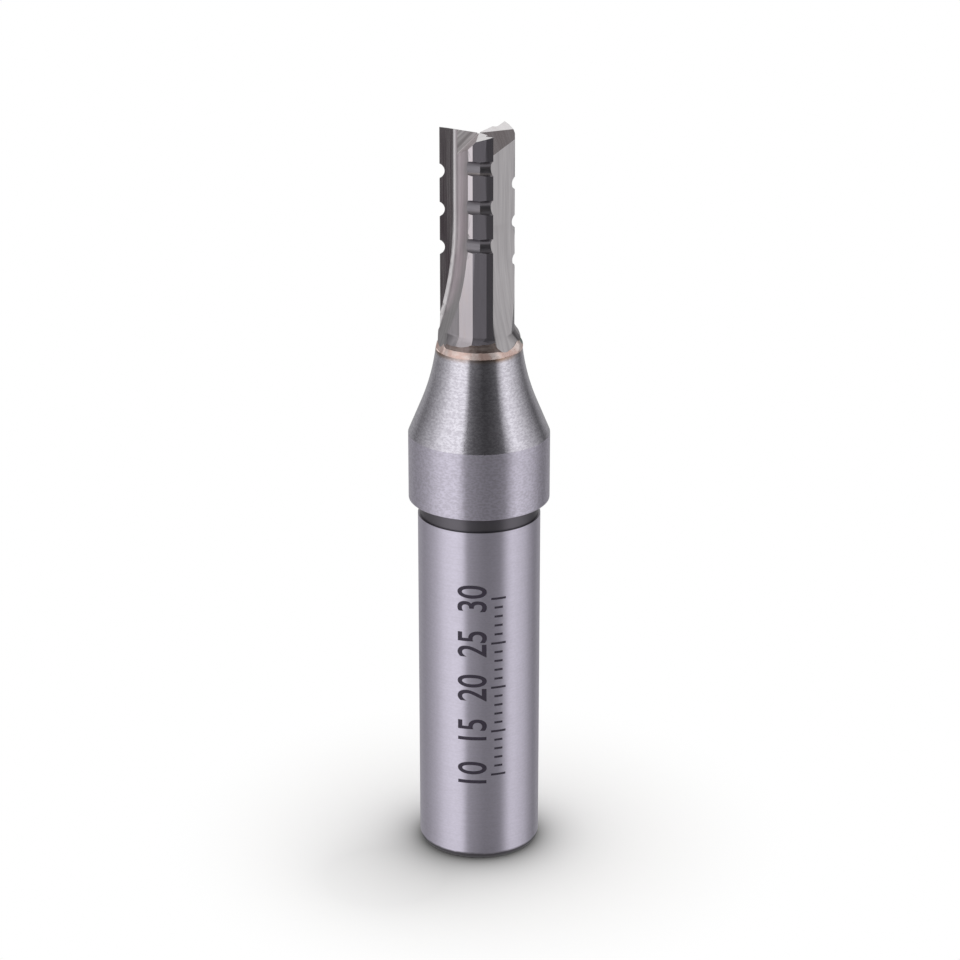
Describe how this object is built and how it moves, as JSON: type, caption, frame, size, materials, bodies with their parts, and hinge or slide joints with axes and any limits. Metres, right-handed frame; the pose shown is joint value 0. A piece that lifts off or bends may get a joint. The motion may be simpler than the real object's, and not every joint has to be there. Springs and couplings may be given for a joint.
{
  "type": "router bit",
  "caption": "Straight fluted router bit: a carbide cutting head with chip breakers, brazed into a turned steel shank with a collar and a flared cone.",
  "frame": {"origin": "centre of the shank's end face, the lowest face of the bit", "axes": "+Z along the tool's axis towards the cutting tip, +X to the right seen from the first tooth's side, +Y away from that side"},
  "size_m": [0.0146, 0.0146, 0.0778],
  "materials": {
    "turned_steel": "fine-turned and ground, satin",
    "ground_carbide": "wheel-ground tungsten carbide, dark satin",
    "braze_filler": "copper-coloured braze, dull"
  },
  "bodies": {
    "root": {"steel_shank": "turned_steel", "cutting_head": "ground_carbide", "braze_joint": "braze_filler"}
  },
  "joints": []
}
